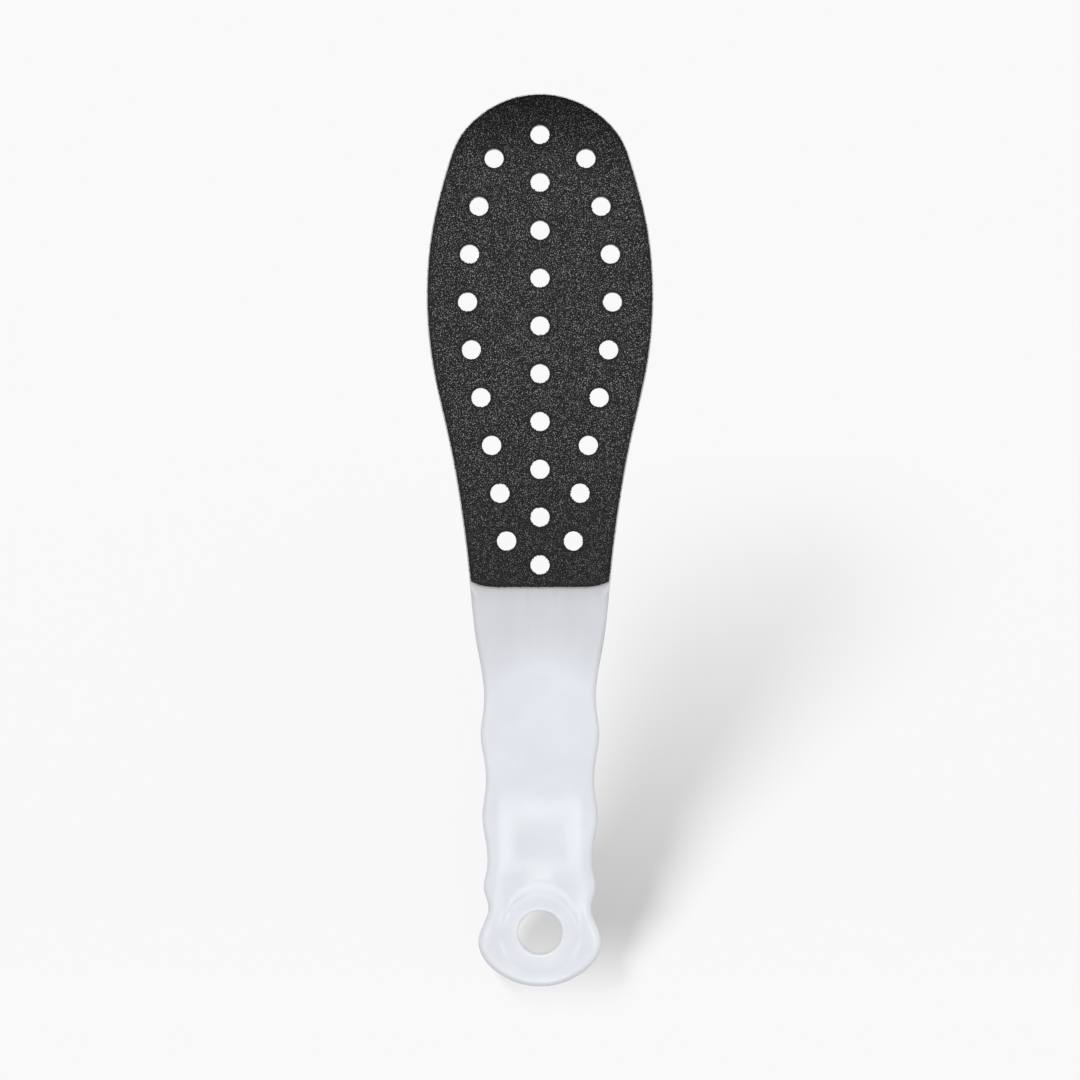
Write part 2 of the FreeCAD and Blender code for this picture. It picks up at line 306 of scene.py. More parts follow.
def mix_shaders(tree, share, first, second):
    """A shader between two others, with a share of the second."""
    return add_node(tree, "ShaderNodeMixShader", {0: share, 1: first.outputs[0], 2: second.outputs[0]})


def new_material(name):
    """An empty material: its tree and its output node."""
    material = bpy.data.materials.new(name)
    material.use_nodes = True
    material.node_tree.nodes.clear()
    output = material.node_tree.nodes.new("ShaderNodeOutputMaterial")
    return material, material.node_tree, output


def end_material(tree, output, inputs):
    """Ends a material in a Principled shader with these inputs."""
    shader = add_node(tree, "ShaderNodeBsdfPrincipled", inputs)
    tree.links.new(shader.outputs["BSDF"], output.inputs["Surface"])


def add_object(name, data):
    """A new object in the scene."""
    made = bpy.data.objects.new(name, data)
    bpy.context.scene.collection.objects.link(made)
    return made


def moulded_polypropylene():
    """Natural polypropylene, injection moulded: milky, a little translucent and glossy.

    Light gets a few millimetres in, so shadows on it are soft. Thin walls are painted greyer, as shade,
    and darker still beside the sheet's lower edge, as a painted contact shadow.
    Faint streaks run along the flow of the melt where the wall is thin, and soft clouds where it is thick.
    The skin has a slight ripple that bends reflections.
    """
    body = settings("body")
    material, tree, output = new_material("moulded_polypropylene")
    place = add_node(tree, "ShaderNodeTexCoord").outputs["Object"]
    wall = add_node(tree, "ShaderNodeAttribute", attribute_name=WALL_AND_SHEET_SHADE).outputs["Fac"]
    # Painted shade: the thin colour greys thin walls, and the attribute also holds a painted contact shadow
    thick = map_range(tree, wall, (body.thin_wall, body.thick_wall), (0.0, 1.0))
    along_flow = add_node(tree, "ShaderNodeMapping", {"Vector": place, "Scale": (1.0, 0.12, 1.0)})
    streaks = noise(tree, along_flow.outputs["Vector"], size=3.0 * MM, detail=2.0, roughness=0.5)
    clouds = noise(tree, place, size=14.0 * MM, detail=3.0, roughness=0.6)
    marks = add_node(tree, "ShaderNodeMix", {0: thick, 2: streaks, 3: clouds}, data_type="FLOAT")
    uneven = map_range(tree, marks.outputs[0], (0.3, 0.7), (-body.mark_depth, body.mark_depth))
    colour = add_node(
        tree,
        "ShaderNodeMix",
        {0: math_node(tree, "ADD", thick, uneven), 6: body.thin_plastic_shade, 7: body.plastic},
        data_type="RGBA",
        clamp_factor=False,
    )
    ripple = noise(tree, place, size=6.0 * MM, detail=1.0, roughness=0.4)
    bump = add_node(tree, "ShaderNodeBump", {"Height": ripple, "Strength": 0.25, "Distance": 0.06 * MM})
    end_material(
        tree,
        output,
        {
            "Base Color": colour.outputs[2],
            "Roughness": 0.1,
            "IOR": 1.49,
            "Subsurface Weight": 0.8,
            "Subsurface Radius": (1.0, 1.0, 1.05),
            "Subsurface Scale": 2.5 * MM,
            "Normal": bump.outputs["Normal"],
        },
    )
    return material


def silicon_carbide(name, dark, light, roughness):
    """Silicon carbide grains, crushed and bonded: near black and angular, with glints on broken faces."""
    material, tree, output = new_material(name)
    # The attribute holds each grain's random tone times the painted shade along edges and towards both ends
    shade = add_node(tree, "ShaderNodeAttribute", attribute_name=GRAIN_TONE_AND_SHADE).outputs["Fac"]
    colour = add_node(tree, "ShaderNodeMix", {0: shade, 6: dark, 7: light}, data_type="RGBA").outputs[2]
    end_material(
        tree,
        output,
        {"Base Color": colour, "Roughness": roughness, "IOR": 1.6, "Specular IOR Level": GLINT},
    )
    return material


def phenolic_resin():
    """Phenolic size coat, rolled on and baked: a dark, half-matt skin between the grains.

    It is pitted at grain size, and darker towards the paddle's tip, where the darkening is painted shade.
    """
    grit = settings("grit")
    material, tree, output = new_material("phenolic_size_coat")
    place = add_node(tree, "ShaderNodeTexCoord").outputs["Object"]
    along = add_node(tree, "ShaderNodeSeparateXYZ", {0: place}).outputs["Y"]
    tip_start = SHEET_LOW.y + grit.tip_start * (SHEET_HIGH.y - SHEET_LOW.y)
    # Painted shade: the resin darkens, and glints less, towards the paddle's tip
    tip = map_range(tree, along, (tip_start, SHEET_HIGH.y), (1.0, grit.tip_resin_shade), smooth=True)
    pits = add_node(tree, "ShaderNodeTexVoronoi", {"Vector": place, "Scale": 1 / (0.45 * MM)})
    pitted = map_range(tree, pits.outputs["Distance"], (0.0, 1.0), (0.7, 1.25))
    level = math_node(tree, "MULTIPLY", pitted, tip)
    end_material(
        tree,
        output,
        {
            "Base Color": vector_math(tree, "SCALE", grit.resin[:3], level),
            "Roughness": 0.55,
            "IOR": 1.55,
            "Specular IOR Level": math_node(tree, "MULTIPLY", tip, GLINT),
        },
    )
    return material


def latex_paper():
    """Waterproof abrasive paper, latex treated and die cut: matt and dark, with short pale fibres."""
    material, tree, output = new_material("latex_paper_backing")
    place = add_node(tree, "ShaderNodeTexCoord").outputs["Object"]
    fibres = noise(tree, place, size=0.6 * MM, detail=4.0, roughness=0.7)
    level = map_range(tree, fibres, (0.0, 1.0), (0.6, 1.5))
    colour = vector_math(tree, "SCALE", settings("grit").backing[:3], level)
    end_material(tree, output, {"Base Color": colour, "Roughness": 0.85, "IOR": 1.45})
    return material


def acrylic_adhesive():
    """Transfer film of acrylic adhesive: a thin, pale and slightly cloudy line between paper and plastic."""
    material, tree, output = new_material("acrylic_adhesive_film")
    place = add_node(tree, "ShaderNodeTexCoord").outputs["Object"]
    clouds = noise(tree, place, size=3.0 * MM, detail=2.0, roughness=0.5)
    level = map_range(tree, clouds, (0.0, 1.0), (0.9, 1.1))
    colour = vector_math(tree, "SCALE", settings("grit").adhesive[:3], level)
    end_material(tree, output, {"Base Color": colour, "Roughness": 0.4, "IOR": 1.47})
    return material


def smooth_curve(places, values, at):
    """Natural cubic spline through values at places, read at other places."""
    x, y = np.array(places), np.array(values)
    step = np.diff(x)
    system = np.zeros((len(x), len(x)))
    right = np.zeros(len(x))
    system[0, 0] = system[-1, -1] = 1.0
    for i in range(1, len(x) - 1):
        system[i, i - 1 : i + 2] = step[i - 1], 2 * (step[i - 1] + step[i]), step[i]
        right[i] = 3 * ((y[i + 1] - y[i]) / step[i] - (y[i] - y[i - 1]) / step[i - 1])
    bend = np.linalg.solve(system, right)
    slope = np.diff(y) / step - step * (2 * bend[:-1] + bend[1:]) / 3
    i = np.clip(np.searchsorted(x, at) - 1, 0, len(x) - 2)
    t = at - x[i]
    return y[i] + slope[i] * t + bend[i] * t**2 + np.diff(bend)[i] / (3 * step[i]) * t**3


def smooth_step(low, high, value):
    """0 below low and 1 above high, with a smooth rise between them."""
    t = np.clip((value - low) / (high - low), 0.0, 1.0)
    return t * t * (3 - 2 * t)


def soft_min(a, b, blend):
    """The lower of two heights, rounded over where they meet."""
    share = np.clip(0.5 + (b - a) / (2 * blend), 0.0, 1.0)
    return b + (a - b) * share - blend * share * (1 - share)


def neck_y():
    """Where the grip ends and the paddle starts."""
    return SHEET_LOW.y - settings("body").sheet_gap


def face_rise(plan):
    """Height of the body's face above mid height at points of its plan, before its edges are rounded."""
    body = settings("body")
    x, y = plan[:, 0], plan[:, 1]
    stations = [(p, body.tab_thickness / 2, s, c) for p, s, c in TAB_SWELL_SHARES]
    stations += [(p, CORE_HALF, s, c) for p, s, c in CORE_SWELL_SHARES]
    places = [station[0] for station in stations]
    thickness = [thin + swell * (GRIP_HALF - thin) for _, thin, swell, _ in stations]
    crowns = [body.crown * crown for *_, crown in stations]
    up = np.clip((y - BUTT_Y) / (neck_y() - BUTT_Y), places[0], places[-1])
    rise = smooth_curve(places, thickness, up)
    rise = rise - smooth_curve(places, crowns, up) * (2 * x / body.grip_width) ** 2
    out = np.hypot(x - HANG_CENTRE.x, y - HANG_CENTRE.y) - body.land_diameter / 2
    wall = -soft_min(-out, np.zeros_like(out), body.land_blend) / math.tan(body.land_wall)
    return soft_min(rise, body.tab_thickness / 2 + wall, body.land_blend)


def body_outline(count):
    """Plan of the body as a closed loop of points, anticlockwise from the butt, read from the CAD model."""
    mesh = frame["nodes"]["moulded_body"].data
    tree = BVHTree.FromPolygons([v.co for v in mesh.vertices], [p.vertices for p in mesh.polygons])
    turn = np.linspace(0.0, math.pi, count + 1)
    y = (BUTT_Y + TIP_Y) / 2 - (TIP_Y - BUTT_Y) / 2 * np.cos(turn)
    read_z = MIDDLE_Z + CORE_HALF / 8
    half = np.zeros(count + 1)
    for i in range(1, count):
        half[i] = tree.ray_cast((2 * BODY_HIGH.x, y[i], read_z), (-1, 0, 0))[0].x
    for _ in range(3):
        half[1:-1] = (half[:-2] + 2 * half[1:-1] + half[2:]) / 4
    right = np.column_stack([half, y])
    left = np.column_stack([-half, y])[-2:0:-1]
    return np.vstack([right, left])


def outward(loop):
    """Unit vectors that point out of an anticlockwise loop, one at each point."""
    along = np.roll(loop, -1, axis=0) - np.roll(loop, 1, axis=0)
    along /= np.linalg.norm(along, axis=1)[:, None]
    return np.column_stack([along[:, 1], -along[:, 0]])


def circle(centre, radius, count):
    """Points of a circle in the plan, anticlockwise."""
    turn = np.arange(count) * 2 * math.pi / count
    return np.column_stack([centre[0] + radius * np.cos(turn), centre[1] + radius * np.sin(turn)])


def outer_face(node, way):
    """The outward face of a CAD sheet as a mesh of its own. Way is 1 for the front and -1 for the rear."""
    face = bmesh.new()
    face.from_mesh(frame["nodes"][node].data)
    bmesh.ops.remove_doubles(face, verts=face.verts, dist=WELD)
    inward = [f for f in face.faces if f.normal.z * way < FACES_OUT]
    bmesh.ops.delete(face, geom=inward, context="FACES")
    return face


def perforations():
    """Centre and radius of every hole of the sheets, from the rims of the front sheet's face."""
    face = outer_face("front_grit_coat", 1)
    rim = {v: [e.other_vert(v) for e in v.link_edges if e.is_boundary] for v in face.verts if v.is_boundary}
    holes = []
    while rim:
        ring, reach = [], [next(iter(rim))]
        while reach:
            vertex = reach.pop()
            if vertex in rim:
                ring.append(vertex.co.xy)
                reach += rim.pop(vertex)
        centre = sum(ring, Vector((0, 0))) / len(ring)
        radius = sum((point - centre).length for point in ring) / len(ring)
        holes.append((centre, radius))
    face.free()
    return sorted(holes, key=lambda hole: hole[1])[:-1]


class Shell:
    """A closed mesh that is the same above and below mid height, built from loops of its plan."""

    def __init__(self):
        self.points = []
        self.faces = []

    def add(self, plan, rise):
        """Adds points above mid height and their mirror below it. Gives the numbers of both."""
        first = len(self.points)
        count = len(plan)
        for way in (1, -1):
            self.points += [(x, y, MIDDLE_Z + way * z) for (x, y), z in zip(plan, rise)]
        upper = np.arange(first, first + count)
        return upper, upper + count

    def bridge(self, low, high):
        """Joins two loops of points with a band of faces."""
        for a, b, c, d in zip(low, np.roll(low, -1), np.roll(high, -1), high):
            self.faces.append((int(a), int(b), int(c), int(d)))

    def bridge_both(self, outer, inner):
        """Joins two pairs of loops, above and below."""
        self.bridge(outer[0], inner[0])
        self.bridge(inner[1], outer[1])

    def mesh(self, name, crease):
        """The finished mesh, smooth apart from edges sharper than the crease."""
        mesh = bpy.data.meshes.new(name)
        mesh.from_pydata(self.points, [], self.faces)
        work = bmesh.new()
        work.from_mesh(mesh)
        bmesh.ops.recalc_face_normals(work, faces=work.faces)
        work.to_mesh(mesh)
        work.free()
        mesh.shade_smooth()
        mesh.set_sharp_from_angle(angle=crease)
        return mesh


def round_over(plan, normals, radii, steps):
    """Loops of a rounded edge from side to top: points of the plan, and how far each is below the face."""
    for turn in np.linspace(0.0, math.pi / 2, steps + 1):
        yield plan - normals * (radii * (1 - math.cos(turn)))[:, None], radii * (1 - math.sin(turn))


def fill_plan(outer, holes, inner):
    """Triangles between an outer loop and the loops of holes, through the inner points.

    Gives all points of the plan, the triangles, and the numbers of the points of each loop.
    """
    loops, edges, points = [], [], []
    for loop in (outer, *holes):
        numbers = list(range(len(points), len(points) + len(loop)))
        points += [Vector(p) for p in loop]
        edges += list(zip(numbers, numbers[1:] + numbers[:1]))
        loops.append(numbers)
    points += [Vector(p) for p in inner]
    made, _, triangles, origins, _, _ = delaunay_2d_cdt(
        points, edges, [loops[0]], INSIDE_ONLY, CLOSEST_POINTS
    )
    found = {}
    for number, given in enumerate(origins):
        for old in given:
            found[old] = number
    loops = [[found[i] for i in loop] for loop in loops]

    # A triangle with all its corners on one hole's loop closes the hole, so it is left out.
    ring_of = {number: ring for ring, loop in enumerate(loops[1:]) for number in loop}
    kept = []
    for triangle in triangles:
        rings = {ring_of.get(number) for number in triangle}
        if len(rings) > 1 or None in rings:
            kept.append(triangle)
    return np.array(made), kept, loops


def inner_points(loop_width, radii, holes):
    """Points inside the body's plan: close together on the grip and far apart under the sheets."""
    body = settings("body")
    points = []
    y = BUTT_Y
    row = 0
    while y < TIP_Y:
        step = body.mesh_step if y < neck_y() else SHEET_STEPS * body.mesh_step
        reach = loop_width(y) - radii(y) - EDGE_CLEAR * step
        count = int(reach / step)
        shift = step / 2 * (row % 2)
        for i in range(-count, count + 1):
            x = i * step + shift
            if abs(x) < reach and all(math.dist((x, y), c) > r + HOLE_CLEAR * step for c, r in holes):
                points.append((x, y))
        y += step * math.sqrt(3) / 2
        row += 1
    return points


def land_rings():
    """Circles of points over the land of the hanging hole and its wall, so that their shape is clean."""
    body = settings("body")
    rim = HANG_RADIUS + body.rim_radius
    brow = body.land_diameter / 2 + LAND_REACH
    rings = []
    radius = rim
    while radius < brow:
        radius += LAND_STEP
        rings.append(radius)
    return rings


class FOOTFILE_OT_moulded_body(bpy.types.Operator):
    """Plastic body: paddle core, crowned grip and hanging end in one moulding"""

    bl_idname = "foot_file.moulded_body"
    bl_label = "Moulded Body"

    def execute(self, context):
        body = settings("body")
        shell = Shell()
        outline = body_outline(OUTLINE_STEPS)
        normals = outward(outline)
        blend = smooth_step(neck_y() - body.edge_run, neck_y() + body.sheet_gap, outline[:, 1])
        radii = body.grip_edge + (body.core_edge - body.grip_edge) * blend

        # The inner loop of the rounded edge bounds the faces.
        edge_loops = list(round_over(outline, normals, radii, EDGE_STEPS))
        holes = [(tuple(HANG_CENTRE), HANG_RADIUS + body.rim_radius)]
        holes += [(tuple(centre), radius + body.hole_clearance) for centre, radius in perforations()]
        hole_loops = [circle(*holes[0], HANG_POINTS)]
        hole_loops += [circle(*hole, HOLE_POINTS) for hole in holes[1:]]
        right = outline[: len(outline) // 2 + 1]
        land = (tuple(HANG_CENTRE), land_rings()[-1])
        inner = inner_points(
            lambda y: np.interp(y, right[:, 1], right[:, 0]),
            lambda y: np.interp(y, right[:, 1], radii[: len(right)]),
            [land, *holes[1:]],
        )
        for radius in land_rings():
            ring = circle(HANG_CENTRE, radius, HANG_POINTS)
            inside = np.interp(ring[:, 1], right[:, 1], right[:, 0]) - body.grip_edge - body.rim_radius
            clear = (np.abs(ring[:, 0]) < inside) & (ring[:, 1] > BUTT_Y + body.grip_edge + body.rim_radius)
            inner += [tuple(point) for point in ring[clear]]
        plan, triangles, loops = fill_plan(edge_loops[-1][0], hole_loops, inner)
        upper, lower = shell.add(plan, face_rise(plan))
        for a, b, c in triangles:
            shell.faces += [(upper[a], upper[b], upper[c]), (lower[c], lower[b], lower[a])]

        # Rounded edge, then the side with its parting line
        last = (upper[loops[0]], lower[loops[0]])
        for points, drop in reversed(edge_loops[:-1]):
            ring = shell.add(points, face_rise(points) - drop)
            shell.bridge_both(ring, last)
            last = ring
        flat = np.zeros(len(outline))
        flank = shell.add(outline, flat + body.flash_width / 2)
        crest = shell.add(outline + normals * body.flash_height, flat)[0]
        shell.bridge_both(flank, last)
        shell.bridge(flank[1], crest)
        shell.bridge(crest, flank[0])

        # Hanging hole with soft rims, then the plain holes of the core
        rim_plan = hole_loops[0]
        towards = -outward(rim_plan)
        rim_radii = np.full(len(rim_plan), body.rim_radius)
        wall = rim_plan + towards * body.rim_radius
        last = (upper[loops[1]], lower[loops[1]])
        for points, drop in reversed(list(round_over(wall, towards, rim_radii, RIM_STEPS))[:-1]):
            ring = shell.add(points, face_rise(rim_plan) - drop)
            shell.bridge_both(last, ring)
            last = ring
        shell.bridge(last[0], last[1])
        for loop in loops[2:]:
            shell.bridge(upper[loop], lower[loop])

        mesh = shell.mesh("moulded_body_skin", CREASE)
        plan = np.array(shell.points)[:, :2]
        # Painted contact shadow: the wall counts as thinner, and so greyer, beside the sheet's lower edge
        from_sheet = np.clip((SHEET_LOW.y - plan[:, 1]) / body.sheet_shadow_reach, 0.0, 1.0)
        wall = 2 * face_rise(plan) - body.sheet_shadow_loss * (1 - from_sheet)
        mesh.attributes.new(WALL_AND_SHEET_SHADE, "FLOAT", "POINT").data.foreach_set("value", wall)
        mesh.materials.append(moulded_polypropylene())
        piece = add_object("moulded_body_skin", mesh)
        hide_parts("moulded_body")
        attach(piece, "root")
        return {"FINISHED"}


def grain_tree():
    """Geometry Nodes that scatter sharp grains on a sheet's face, sunk at cut edges and darkened there by
    painted shade.
    """
    tree = bpy.data.node_groups.new("scattered_grains", "GeometryNodeTree")
    for name, kind in (
        ("Geometry", "Geometry"),
        ("Spacing", "Float"),
        ("Width", "Float"),
        ("Height", "Float"),
        ("Sides", "Int"),
        ("Rim Width", "Float"),
        ("Rim Dip", "Float"),
        ("Shade Width", "Float"),
        ("Rim Shade", "Float"),
        ("Tip Start", "Float"),
        ("Tip Shade", "Float"),
        ("Low End", "Float"),
        ("Low Shade", "Float"),
        ("Map Corner", "Vector"),
        ("Map Size", "Vector"),
        ("Seed", "Int"),
        ("Material", "Material"),
    ):
        tree.interface.new_socket(name, in_out="INPUT", socket_type=f"NodeSocket{kind}")
    tree.interface.new_socket("Geometry", in_out="OUTPUT", socket_type="NodeSocketGeometry")
    given = add_node(tree, "NodeGroupInput").outputs

    # Distance of a point from the nearest cut edge
    faces = add_node(tree, "GeometryNodeInputMeshEdgeNeighbors").outputs["Face Count"]
    is_rim = add_node(tree, "FunctionNodeCompare", {2: faces, 3: 1}, data_type="INT", operation="EQUAL")
    rim_curve = add_node(
        tree, "GeometryNodeMeshToCurve", {"Mesh": given["Geometry"], "Selection": is_rim.outputs["Result"]}
    )
    rim = add_node(tree, "GeometryNodeCurveToMesh", {"Curve": rim_curve.outputs["Curve"]})
    nearest = add_node(tree, "GeometryNodeProximity", {0: rim.outputs["Mesh"]}, target_element="EDGES")
    from_rim = nearest.outputs["Distance"]
    inside = map_range(tree, from_rim, (0.0, given["Rim Width"]), (0.0, 1.0), smooth=True)

    # As many points as fit at the spacing, pressed down along the cut edges
    gap_area = math_node(tree, "MULTIPLY", given["Spacing"], given["Spacing"])
    scatter = add_node(
        tree,
        "GeometryNodeDistributePointsOnFaces",
        {
            "Mesh": given["Geometry"],
            "Distance Min": given["Spacing"],
            "Density Max": math_node(tree, "DIVIDE", GRAIN_TRIES, gap_area),
            "Seed": given["Seed"],
        },
        distribute_method="POISSON",
    )
    dip = map_range(tree, inside, (0.0, 1.0), (given["Rim Dip"], 0.0))
    sink = math_node(tree, "MULTIPLY", dip, -1.0)
    drop = vector_math(tree, "SCALE", scatter.outputs["Normal"], sink)
    settled = add_node(
        tree, "GeometryNodeSetPosition", {"Geometry": scatter.outputs["Points"], "Offset": drop}
    )

    # Grains are of every shade at random. Painted shade darkens them along cut edges and towards both ends
    # of the sheet.
    place = add_node(tree, "GeometryNodeInputPosition").outputs[0]
    from_corner = vector_math(tree, "SUBTRACT", place, given["Map Corner"])
    over_sheet = vector_math(tree, "DIVIDE", from_corner, given["Map Size"])
    up = add_node(tree, "ShaderNodeSeparateXYZ", {0: over_sheet}).outputs["Y"]
    chance = add_node(tree, "FunctionNodeRandomValue", {2: SHADE_LEAST, 3: 1.0, "Seed": given["Seed"]})
    shade = math_node(tree, "POWER", chance.outputs[1], SHADE_CURVE)
    for value, source, target in (
        (from_rim, (0.0, given["Shade Width"]), (given["Rim Shade"], 1.0)),
        (up, (given["Tip Start"], 1.0), (1.0, given["Tip Shade"])),
        (up, (0.0, given["Low End"]), (given["Low Shade"], 1.0)),
    ):
        share = map_range(tree, value, source, target, smooth=True)
        shade = math_node(tree, "MULTIPLY", shade, share)
    shaded = add_node(
        tree,
        "GeometryNodeStoreNamedAttribute",
        {"Geometry": settled.outputs["Geometry"], "Name": GRAIN_TONE_AND_SHADE, "Value": shade},
        domain="POINT",
        data_type="FLOAT",
    )

    # A broken chip is a leaning pyramid of random size.
    chip = add_node(
        tree,
        "GeometryNodeMeshCone",
        {"Vertices": given["Sides"], "Radius Top": 0.0, "Radius Bottom": 0.5, "Depth": 1.0},
        fill_type="NGON",
    )
    lean, build = [
        add_node(
            tree,
            "FunctionNodeRandomValue",
            {0: least, 1: most, "Seed": given["Seed"]},
            data_type="FLOAT_VECTOR",
        ).outputs[0]
        for least, most in (GRAIN_TURNS, GRAIN_SIZES)
    ]
    turn = add_node(tree, "FunctionNodeEulerToRotation", {0: lean})
    stand = add_node(
        tree,
        "FunctionNodeRotateRotation",
        {0: scatter.outputs["Rotation"], 1: turn.outputs[0]},
        rotation_space="LOCAL",
    )
    typical = add_node(
        tree, "ShaderNodeCombineXYZ", {0: given["Width"], 1: given["Width"], 2: given["Height"]}
    )
    chips = add_node(
        tree,
        "GeometryNodeInstanceOnPoints",
        {
            "Points": shaded.outputs["Geometry"],
            "Instance": chip.outputs["Mesh"],
            "Rotation": stand.outputs[0],
            "Scale": vector_math(tree, "MULTIPLY", build, typical.outputs[0]),
        },
    )
    grains = add_node(tree, "GeometryNodeRealizeInstances", {"Geometry": chips.outputs["Instances"]})

    # Flat map over the sheet
    mapped = add_node(
        tree,
        "GeometryNodeStoreNamedAttribute",
        {"Geometry": grains.outputs["Geometry"], "Name": BAKE_MAP, "Value": over_sheet},
        domain="CORNER",
        data_type="FLOAT2",
    )
    painted = add_node(
        tree,
        "GeometryNodeSetMaterial",
        {"Geometry": mapped.outputs["Geometry"], "Material": given["Material"]},
    )
    add_node(tree, "NodeGroupOutput", {"Geometry": painted.outputs["Geometry"]})
    return tree


def resin_coat(node, way, depth):
    """Copy of a CAD coat, thinned to the resin that the grains stand in."""
    coat = bmesh.new()
    coat.from_mesh(frame["nodes"][node].data)
    bmesh.ops.remove_doubles(coat, verts=coat.verts, dist=WELD)
    low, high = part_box(node)
    inner_z = low.z if way > 0 else high.z
    for vertex in coat.verts:
        if abs(vertex.co.z - inner_z) > (high.z - low.z) / 2:
            vertex.co.z = inner_z + way * depth
    mesh = bpy.data.meshes.new(f"{node}_resin")
    coat.to_mesh(mesh)
    coat.free()
    return mesh


class FOOTFILE_OT_grit_coats(bpy.types.Operator):
    """Coarse grit on the front and fine grit on the rear, each in a skin of resin"""

    bl_idname = "foot_file.grit_coats"
    bl_label = "Grit Coats"

    def execute(self, context):
        grit = settings("grit")
        tree = grain_tree()
        resin = phenolic_resin()
        margin = Vector((1, 1, 1)) * grit.coarse_width
        for side, way, slot, spacing, width, height, sides, roughness in (
            ("front", 1, "coarse_grit", grit.coarse_spacing, grit.coarse_width, grit.coarse_height, 4, 0.42),
            ("rear", -1, "fine_grit", grit.fine_spacing, grit.fine_width, grit.fine_height, 3, 0.5),
        ):
            node = f"{side}_grit_coat"
            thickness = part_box(node)[1].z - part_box(node)[0].z
            depth = thickness - GRAIN_STAND * height
            mesh = resin_coat(node, way, depth)
            mesh.materials.append(resin)
            piece = add_object(f"{side}_resin_coat", mesh)
            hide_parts(node)
            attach(piece, "root")

            face = outer_face(node, way)
            for vertex in face.verts:
                vertex.co.z -= way * (thickness - depth + GRAIN_SINK * height)
            carrier_mesh = bpy.data.meshes.new(f"{side}_grain_carrier")
            face.to_mesh(carrier_mesh)
            face.free()
            carrier = add_object(f"{side}_grain_carrier", carrier_mesh)
            scatter = carrier.modifiers.new("Scattered Grains", "NODES")
            scatter.node_group = tree
            values = {
                "Spacing": spacing,
                "Width": width,
                "Height": height,
                "Sides": sides,
                "Rim Width": grit.rim_width,
                "Rim Dip": grit.rim_dip,
                "Shade Width": grit.shade_width,
                "Rim Shade": grit.rim_shade,
                "Tip Start": grit.tip_start,
                "Tip Shade": grit.tip_shade,
                "Low End": grit.low_end,
                "Low Shade": grit.low_shade,
                "Map Corner": SHEET_LOW - margin,
                "Map Size": SHEET_HIGH - SHEET_LOW + 2 * margin,
                "Seed": grit.seed,
                "Material": silicon_carbide(
                    f"silicon_carbide_{slot}", grit.grain_dark, grit.grain_light, roughness
                ),
            }
            for socket in tree.interface.items_tree:
                if socket.name in values:
                    scatter[socket.identifier] = values[socket.name]
            context.view_layer.update()
            shown = carrier.evaluated_get(context.evaluated_depsgraph_get())
            grains = add_object(f"{side}_grains", bpy.data.meshes.new_from_object(shown))
            bpy.data.objects.remove(carrier)
            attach(grains, "root")
        return {"FINISHED"}


class FOOTFILE_OT_sheet_layers(bpy.types.Operator):
    """Paper backing and adhesive film of both sheets, as they are in the CAD model"""

    bl_idname = "foot_file.sheet_layers"
    bl_label = "Sheet Layers"

    def execute(self, context):
        for layer, slot, material in (
            ("backing_sheet", "backing", latex_paper()),
            ("adhesive_film", "adhesive", acrylic_adhesive()),
        ):
            for side in ("front", "rear"):
                piece = frame["nodes"][f"{side}_{layer}"]
                piece.data.materials.clear()
                piece.data.materials.append(material)
        return {"FINISHED"}


def seen_directly(tree):
    """1 for what the camera, a reflection or a clear body shows, and 0 for light that bounces."""
    path = add_node(tree, "ShaderNodeLightPath").outputs
    shown = math_node(tree, "MAXIMUM", path["Is Camera Ray"], path["Is Glossy Ray"])
    return math_node(tree, "MAXIMUM", shown, path["Is Transmission Ray"])


def matt_white_paint(name, albedo, glow):
    """Matt white paint, rolled on smooth board: pale and even.

    A glow makes up the light that the paint doesn't take from the lamps, so that only the file's cast shadow
    shows on it, and that shadow fades out along the floor.
    """
    stage = settings("stage")
    material, tree, output = new_material(name)
    place = add_node(tree, "ShaderNodeTexCoord").outputs["Object"]
    along = add_node(tree, "ShaderNodeSeparateXYZ", {0: place}).outputs["Y"]
    # Painted light: the cast shadow is lifted to the plain glow away from its darkest place
    darkest = BUTT_Y + stage.shadow_start
    beyond = map_range(tree, along, (darkest, BUTT_Y + stage.shadow_end), (0.0, 1.0))
    before = map_range(tree, along, (darkest, BUTT_Y - stage.shadow_front), (0.0, 1.0), smooth=True)
    faded = math_node(tree, "MAXIMUM", beyond, before)
    matt = add_node(tree, "ShaderNodeBsdfDiffuse", {"Color": (*albedo, 1.0)})
    light = add_node(tree, "ShaderNodeEmission", {"Color": (*glow, 1.0)})
    lit = add_node(tree, "ShaderNodeAddShader", {0: matt.outputs[0], 1: light.outputs[0]})
    plain = add_node(tree, "ShaderNodeEmission", {"Color": stage.floor_colour})
    shown = mix_shaders(tree, faded, lit, plain)
    bounced = add_node(
        tree, "ShaderNodeEmission", {"Color": stage.floor_colour, "Strength": stage.floor_bounce}
    )
    both = mix_shaders(tree, seen_directly(tree), bounced, shown)
    tree.links.new(both.outputs[0], output.inputs["Surface"])
    return material


